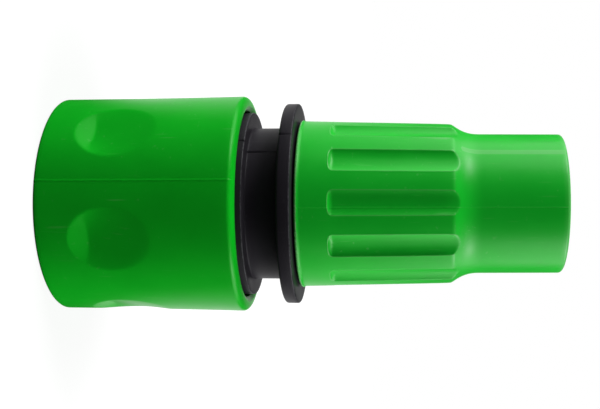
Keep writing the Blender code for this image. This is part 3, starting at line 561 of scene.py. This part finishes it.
collar_radius, collar_bore, collar_front, collar_rear = 15.2, 12.4, 26.0, 32.15
neck_radius = 12.58
flange_radius, flange_front, flange_rear = 16.6, 37.6, 39.75
thread_radius, thread_end = 10.7, 51.9
pocket_radius, pocket_floor = 9.4, 43.0
hose_radius, hose_bore, hose_end = 6.35, 4.5, 70.5
barb_low, barb_pitch, barb_count, barb_height = 53.9, 3.2, 5, 0.55
chamber_low, chamber_high = 31.3, 38.0
body_corners = [
    (collar_bore, collar_front, 0.15), (collar_radius, collar_front, 0.3, 1.2),
    (collar_radius, collar_rear, 0.16, 0.6), (neck_radius, collar_rear, 0.25, 0.6),
    (neck_radius, flange_front, 0.25), (flange_radius, flange_front, 0.4),
    (flange_radius, flange_rear, 0.25, 1.0), (thread_radius, flange_rear, 0.2, 0.16),
    (thread_radius, thread_end, 0.25), (pocket_radius, thread_end, 0.2, 1.5),
    (pocket_radius, pocket_floor, 0.3), (hose_radius, pocket_floor, 0.3, 1.5),
]
for i in range(barb_count):
    barb_foot = barb_low + i * barb_pitch
    body_corners.append((hose_radius, barb_foot, 0.08))
    body_corners.append((hose_radius + barb_height, barb_foot, 0.06))
body_corners += [
    (hose_radius, 69.9, 0.3), (5.75, hose_end, 0.3), (hose_bore, hose_end, 0.2, 2.0),
    (hose_bore, 41.0, 0.4), (7.3, chamber_high, 0.1), (chamber_radius, chamber_high, 0.2),
    (chamber_radius, chamber_low, 0.1), (collar_bore, chamber_low, 0.2),
]
body_outline = rounded_outline(body_corners)
body_r = body_outline[:, :1]
body_z = body_outline[:, 1:]
body_step_angle = 229.5
body_seams = (body_step_angle, body_step_angle - 180)
body_angle = columns_with_seams(300, body_seams)[None, :]

thread_start, thread_turns, thread_pitch = 41.8, 2.5, 3.0
thread_depth, crest_half, root_half = 0.8, 0.45, 0.855


def thread_height(angle, z, start, turns):
    """Height of a right-hand trapezoid thread. By the distance along Z to the nearest turn of the
    helix it is full on the crest and none beyond the root, and it fades over a quarter turn at
    each of its two ends."""
    phase = (z - start) / thread_pitch - angle / 360
    nearest = np.clip(np.round(phase), 0, turns)
    travelled = nearest + angle / 360
    offset = np.abs(phase - nearest) * thread_pitch
    flank = np.clip((root_half - offset) / (root_half - crest_half), 0, 1)
    fade = np.clip(travelled * 4, 0, 1) * np.clip((turns - travelled) * 4, 0, 1)
    return thread_depth * flank * fade


on_tube = (np.abs(body_r - thread_radius) < 0.1) & (body_z > 40.2) & (body_z < 51.4)
ridge = thread_height(body_angle % 360, body_z, thread_start, thread_turns) * on_tube
mould_step = 0.05
upper_half = np.abs(from_angle(body_angle, body_step_angle - 90)) < 90
on_outside = (body_r > 12.5) & (body_z > 31.5) & (body_z < 39.7)
# Where the mould halves meet, the step opens into a slit: on the collar's edge, along the neck
# from its foot on, and on the flange's front half, where it dies out.
slit_depth, collar_slit_depth, slit_width = 0.16, 0.25, 0.12
collar_slit = collar_slit_depth * (body_r > 14.6) * (body_z > 31.0) * (body_z < 33)
neck_slit = slit_depth * (body_r < 13) * on_outside * np.clip((36.2 - body_z) / 3, 0, 1)
flange_slit = slit_depth * (body_r > 16) * np.clip((39.3 - body_z) / 0.8, 0, 1)
slit = collar_slit + neck_slit + flange_slit
slit = slit * seam_line(body_angle, body_step_angle, 14, slit_width)
body_skin = body_r + ridge + mould_step * upper_half * on_outside - slit
body = turned_piece("rear_body_moulding", turn(body_skin, body_angle, body_z), sharp=50)
dress(body, black_abs, "core", "rear_body")


# Grip collet
# A ring of grey acetal fingers with saw teeth inside, moulded in one. It rides in the nut without
# turning, and the nut's cone closes it on the hose.

rounded_copy(
    "grip_collet_moulding", "grip_collet", grey_acetal, "collet", edge=0.12)


# Grip nut
# The long green polypropylene nut: twelve flutes for the grip, a concave shoulder and a plain tail
# that the hose leaves through. Inside it has the thread and the cone that closes the collet.

# The same polypropylene, a little lighter. Its crisp edges are painted pale, a painted highlight
# with a little real wear, and so is its rim, which rubs against the flange: there a painted
# highlight line, partly real rubbing.
green_nut = moulded_plastic(
    "green_polypropylene_nut", "#0dbf29", 0.36, shine=0.24, wear=0.06, edge_wear_and_highlight=0.12,
    rubbed_edge_highlights=((40.25, 0.18, 0.4),),
)

nut_low, nut_corner, nut_high = 40.05, 64.75, 82.2
nut_radius, nut_taper, taper_low = 13.75, 0.65, 41.4
bead_height, bead_width = 0.14, 0.3
shoulder_length, shoulder_power, shoulder_softness = 4.55, 2.45, 0.3
tail_radius, tail_taper, tail_low, tail_length = 11.4, 0.13, 69.3, 12.9
nut_bore, tail_bore = 11.8, 9.4
land_low, land_high, land_height = 52.5, 53.2, 0.9
cone_low, cone_high, cone_radius = 55.5, 68.6, 11.56
# The outline's outside is a plain cylinder of this radius, until nut_skin gives it its own form.
blank_radius = 13.9
nut_corners = [
    (nut_bore + 0.5, nut_low, 0.15), (blank_radius, nut_low, 0.35, 0.1),
    (blank_radius, 41.0, 0, 0.6), (blank_radius, 44.9, 0, 0.07), (blank_radius, 46.4, 0, 1.5),
    (blank_radius, 64.0, 0, 0.12), (blank_radius, 66.4, 0, 0.3), (blank_radius, 70.0, 0, 0.8),
    (blank_radius, nut_high, 0.5), (tail_bore + 0.5, nut_high, 0.2),
    (tail_bore, nut_high - 0.5, 0.2, 1.5), (tail_bore, cone_high, 0.5, 1.5),
    (cone_radius, cone_low, 0), (nut_bore, cone_low, 0.1), (nut_bore, land_high, 0.1),
    (nut_bore - land_height, land_high, 0.1), (nut_bore - land_height, land_low, 0.1),
    (nut_bore, land_low, 0.1, 0.25), (nut_bore, nut_low + 0.5, 0.1),
]
nut_outline = rounded_outline(nut_corners)
nut_r = nut_outline[:, :1]
nut_z = nut_outline[:, 1:]
# The columns step evenly from one flute's middle to the next, but are crowded at the flutes' edges
# and at the two seams.
flute_count, first_flute, flute_edge_angle = 12, 29.4, 8.4
flute_pitch = 360 / flute_count
edge_steps = np.linspace(-1.2, 1.2, 7)
wide_steps = np.linspace(0, flute_pitch, 29)[:-1]
off_edge = np.abs(np.abs(from_angle(wide_steps, 0)) - flute_edge_angle)
off_far_edge = np.abs(np.abs(from_angle(wide_steps, flute_pitch)) - flute_edge_angle)
period = np.concatenate([
    wide_steps[np.minimum(off_edge, off_far_edge) > 1.4],
    flute_edge_angle + edge_steps, flute_pitch - flute_edge_angle + edge_steps,
])
flute_angles = first_flute + flute_pitch * np.arange(flute_count)
nut_angle = (period[None, :] + flute_angles[:, None]).ravel() % 360
nut_seams = (272.8, 92.8)
seam_steps = np.linspace(-0.9, 0.9, 9)
for seam in nut_seams:
    nut_angle = nut_angle[np.abs(from_angle(nut_angle, seam)) > 1]
    nut_angle = np.concatenate([nut_angle, seam + seam_steps])
nut_angle = np.sort(nut_angle)[None, :]


def taper_radius(z):
    """Radius of the nut's straight taper, which falls evenly along the body."""
    return nut_radius - nut_taper * (z - taper_low) / (nut_corner - taper_low)


def nut_skin(z):
    """Outer radius of the nut before its flutes: the lesser, with a rounded changeover, of a
    straight taper with a small bead at its rim, and a concave shoulder that falls as a power of
    the share still to go and ends in the slightly tapered tail."""
    bead = bead_height * np.exp(-((z - nut_low - 0.25) / bead_width) ** 2)
    to_go = 1 - np.minimum((z - nut_corner) / shoulder_length, 1)
    tail = tail_radius - tail_taper * np.clip((z - tail_low) / tail_length, 0, 1)
    shoulder = tail + (nut_radius - nut_taper - tail_radius) * to_go ** shoulder_power
    return soft_least(taper_radius(z) + bead, shoulder, shoulder_softness)


surface = nut_r + (nut_skin(nut_z) - blank_radius) * (nut_r > 12.45)
on_side = np.abs(nut_r - blank_radius) < 0.02
flute_low, flute_end = 45.2, 0.95
flute_depth, flute_half, flute_softness = 0.62, 1.95, 0.12
flute_lip, lip_width = 0.05, 0.13
corner_power, hollow_power = 2.8, 2.3
arc_radius, arc_reach = 13.3, 3.2
for flute_angle in flute_angles:
    # Each flute is a round-bottomed groove. Its radius rises with the share of its half width
    # aside and with the share of its closed end still to go. These are joined as the root of two
    # powers, so that the end is a rounded rectangle, and the result is raised to the power of the
    # hollow. The lower of groove and skin stays, with a raised lip.
    aside = np.radians(from_angle(nut_angle, flute_angle)) * arc_radius
    closed = np.clip((flute_low + flute_end - nut_z) / flute_end, 0, None)
    rise = (np.abs(aside) / flute_half) ** corner_power + closed ** corner_power
    groove = taper_radius(nut_z) + flute_depth * (rise ** (hollow_power / corner_power) - 1)
    lip = flute_lip * np.exp(-((nut_skin(nut_z) - groove) / lip_width) ** 2)
    fluted = soft_least(surface, groove, flute_softness) + lip * (nut_z < nut_corner)
    surface = np.where(on_side & (np.abs(aside) < arc_reach), fluted, surface)
nut_seam_height, nut_seam_width = 0.03, 0.1
nut_seam_ridge = nut_seam_height * on_side * sum(
    seam_line(nut_angle, seam, 13, nut_seam_width) for seam in nut_seams)
# The nut's thread lies half a pitch further on, in the gaps of the body's.
in_thread = (np.abs(nut_r - nut_bore) < 0.02) & (nut_z > 41.0) & (nut_z < 52.4)
nut_ridge = in_thread * thread_height(
    nut_angle % 360, nut_z, thread_start + thread_pitch / 2, thread_turns)
nut_points = turn(surface + nut_seam_ridge - nut_ridge, nut_angle, nut_z)
nut = turned_piece("grip_nut_moulding", nut_points, sharp=50)
dress(nut, green_nut, "nut", "grip_nut")


# Studio
# White paper under the connector, and the camera on its side. To each side of the connector, which
# is the picture's top and bottom, stands a large soft box with a smaller lamp in it.

def soft_box(name, direction, distance, width, height, watts):
    """A rectangular lamp that faces the middle of the connector from a direction; in metres."""
    middle = Vector((0, 0, 0.041))
    lamp = bpy.data.lights.new(name, "AREA")
    lamp.shape = "RECTANGLE"
    lamp.size = width
    lamp.size_y = height
    lamp.energy = watts
    holder = bpy.data.objects.new(name, lamp)
    holder.location = middle + Vector(direction).normalized() * distance
    holder.rotation_euler = (middle - holder.location).to_track_quat("-Z", "Y").to_euler()
    bpy.context.scene.collection.objects.link(holder)


soft_box("box_above_picture", (-1.0, -0.02, 0.55), 0.40, 0.46, 0.38, 1.55)
soft_box("box_below_picture", (1.0, -0.02, 0.55), 0.40, 0.46, 0.38, 1.42)
soft_box("lamp_in_upper_box", (-0.80, -0.25, 0.60), 0.38, 0.15, 0.09, 0.66)
soft_box("lamp_in_lower_box", (0.86, -0.12, 0.56), 0.38, 0.15, 0.09, 0.48)


def paper_ray(tree, coordinate, low, high):
    """Share of white that a ray sees: all of it for camera and transmission rays, and for glossy
    rays as far as the Y of the given coordinate lies behind the connector, from low up to high."""
    ray = add_node(tree, "ShaderNodeLightPath")
    place = add_node(tree, "ShaderNodeSeparateXYZ", inputs={0: coordinate})
    behind = add_node(tree, "ShaderNodeMapRange", {"interpolation_type": "SMOOTHSTEP"}, {
        "Value": place.outputs["Y"], "From Min": low, "From Max": high})
    mirrored = add_node(tree, "ShaderNodeMath", {"operation": "MULTIPLY"}, {
        0: ray.outputs["Is Glossy Ray"], 1: behind.outputs["Result"]})
    direct = add_node(tree, "ShaderNodeMath", {"operation": "MAXIMUM"}, {
        0: ray.outputs["Is Camera Ray"], 1: ray.outputs["Is Transmission Ray"]})
    return add_node(tree, "ShaderNodeMath", {"operation": "MAXIMUM"}, {
        0: direct.outputs[0], 1: mirrored.outputs[0]}).outputs[0]


def white_paper():
    """Floor paper: white to the camera with the shadow left on it near the part, and a duller
    sheet to light that bounces, because the photographed connector has no sheet at its mouth."""
    material, tree, output = new_material("white_paper")
    place = add_node(tree, "ShaderNodeTexCoord").outputs["Object"]
    distance = add_node(tree, "ShaderNodeVectorMath", {"operation": "LENGTH"}, {0: place})
    far = add_node(tree, "ShaderNodeMapRange", {"interpolation_type": "SMOOTHSTEP"}, {
        "Value": distance.outputs["Value"], "From Min": 0.02, "From Max": 0.06,
        "To Min": 0.86, "To Max": 1.0})
    glow = add_node(tree, "ShaderNodeEmission", inputs={"Strength": far.outputs["Result"]})
    sheet = add_node(tree, "ShaderNodeBsdfDiffuse", inputs={"Color": linear("#6a6a6a")})
    seen = add_node(tree, "ShaderNodeAddShader", inputs={0: glow.outputs[0], 1: sheet.outputs[0]})
    dull = add_node(tree, "ShaderNodeBsdfDiffuse", inputs={"Color": linear("#454545")})
    both = add_node(tree, "ShaderNodeMixShader", inputs={
        0: paper_ray(tree, place, 0.0, 0.05), 1: dull.outputs[0], 2: seen.outputs[0]})
    tree.links.new(both.outputs[0], output.inputs["Surface"])
    return material


floor_half = 1.5
floor_corners = [(-1, -1, 0), (1, -1, 0), (1, 1, 0), (-1, 1, 0)]
floor_mesh = bpy.data.meshes.new("floor")
floor_mesh.from_pydata((floor_half * np.array(floor_corners)).tolist(), [], [(0, 1, 2, 3)])
floor_mesh.materials.append(white_paper())
floor = bpy.data.objects.new("floor", floor_mesh)
bpy.context.scene.collection.objects.link(floor)

world = bpy.data.worlds.new("studio")
world.use_nodes = True
tree = world.node_tree
tree.nodes.clear()
direction = add_node(tree, "ShaderNodeTexCoord").outputs["Generated"]
room = add_node(tree, "ShaderNodeBackground", inputs={
    "Color": linear("#ffffff"), "Strength": 0.07})
white = add_node(tree, "ShaderNodeBackground", inputs={
    "Color": linear("#ffffff"), "Strength": 1.0})
mix = add_node(tree, "ShaderNodeMixShader", inputs={
    0: paper_ray(tree, direction, 0.93, 1.0), 1: room.outputs[0], 2: white.outputs[0]})
tree.links.new(mix.outputs[0], add_node(tree, "ShaderNodeOutputWorld").inputs["Surface"])
bpy.context.scene.world = world

# The camera looks across the standing connector and a little down along it. Up in the picture is
# towards -X, so that the connector lies with its hose end on the right.
camera_data = bpy.data.cameras.new("camera")
camera_data.sensor_width = 36
camera_data.sensor_fit = "HORIZONTAL"
camera_data.lens = 57.6
camera_data.clip_start = 0.01
camera = bpy.data.objects.new("camera", camera_data)
bpy.context.scene.collection.objects.link(camera)
picture_right = Vector((0.0, 0.1092, 0.9940)).normalized()
looking = Vector((0.0, 0.9940, -0.1092))
looking = (looking - looking.dot(picture_right) * picture_right).normalized()
picture_up = picture_right.cross(looking)
camera.matrix_world = Matrix.Translation((0.00015, -0.1602, 0.0572)) @ Matrix((
    picture_right, picture_up, -looking)).transposed().to_4x4()
bpy.context.scene.camera = camera
bpy.context.scene.view_settings.view_transform = "Standard"
